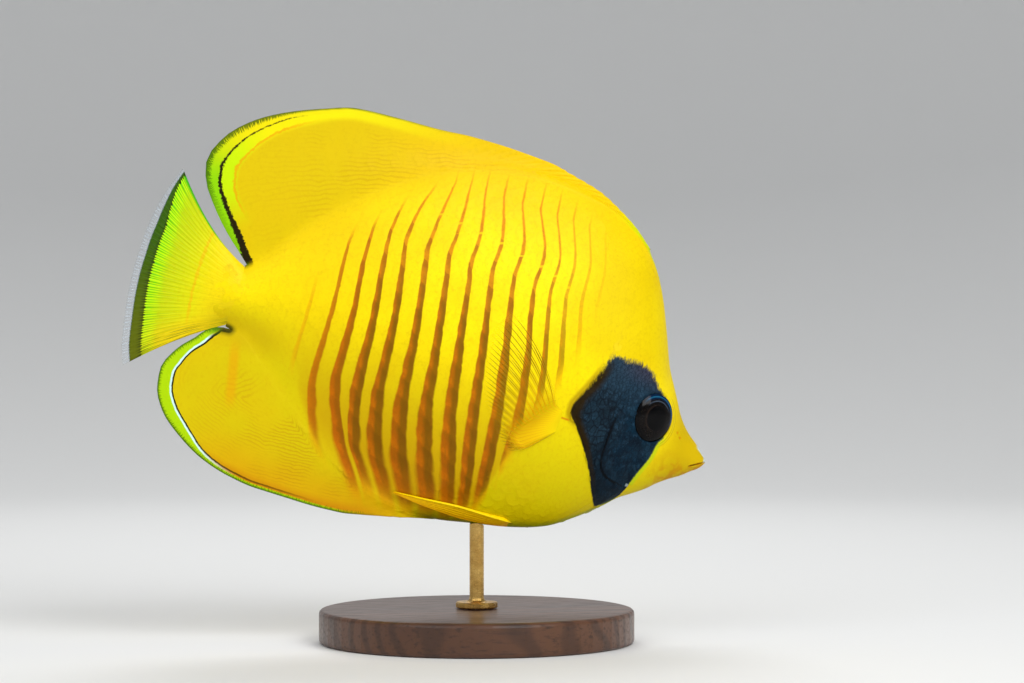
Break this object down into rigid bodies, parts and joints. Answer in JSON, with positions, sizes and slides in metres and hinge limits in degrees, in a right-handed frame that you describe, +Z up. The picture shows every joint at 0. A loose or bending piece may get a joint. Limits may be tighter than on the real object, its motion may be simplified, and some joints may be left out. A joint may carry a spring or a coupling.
{
  "type": "bluecheek butterflyfish model",
  "caption": "Life-size butterflyfish swimming nose down, with spread fins, held on a rod over a round display base.",
  "frame": {"origin": "centre of the display base's underside, on the rod's axis", "axes": "+X towards the fish's head, -Y out of its right flank, +Z up; the fish lies in the XZ plane with its nose down"},
  "size_m": [0.194, 0.104, 0.1755],
  "materials": {
    "yellow_skin": "satin, finely scaled, with orange-brown bars and a dark blue cheek",
    "fin_yellow": "satin, ribbed by the fin rays",
    "fin_clear_yellow": "clear membrane between yellow rays",
    "eye_black": "polished",
    "dark_wood": "satin varnish",
    "rod_brass": "brushed"
  },
  "bodies": {
    "root": {"head": "yellow_skin", "trunk": "yellow_skin", "tail_stalk": "yellow_skin", "dorsal_fin": "fin_yellow", "anal_fin": "fin_yellow", "tail_fin": "fin_yellow", "pectoral_fin_right": "fin_clear_yellow", "pectoral_fin_left": "fin_clear_yellow", "pelvic_fin_right": "fin_yellow", "pelvic_fin_left": "fin_yellow", "eye_right": "eye_black", "eye_left": "eye_black", "stand_base": "dark_wood", "stand_rod": "rod_brass"}
  },
  "joints": []
}
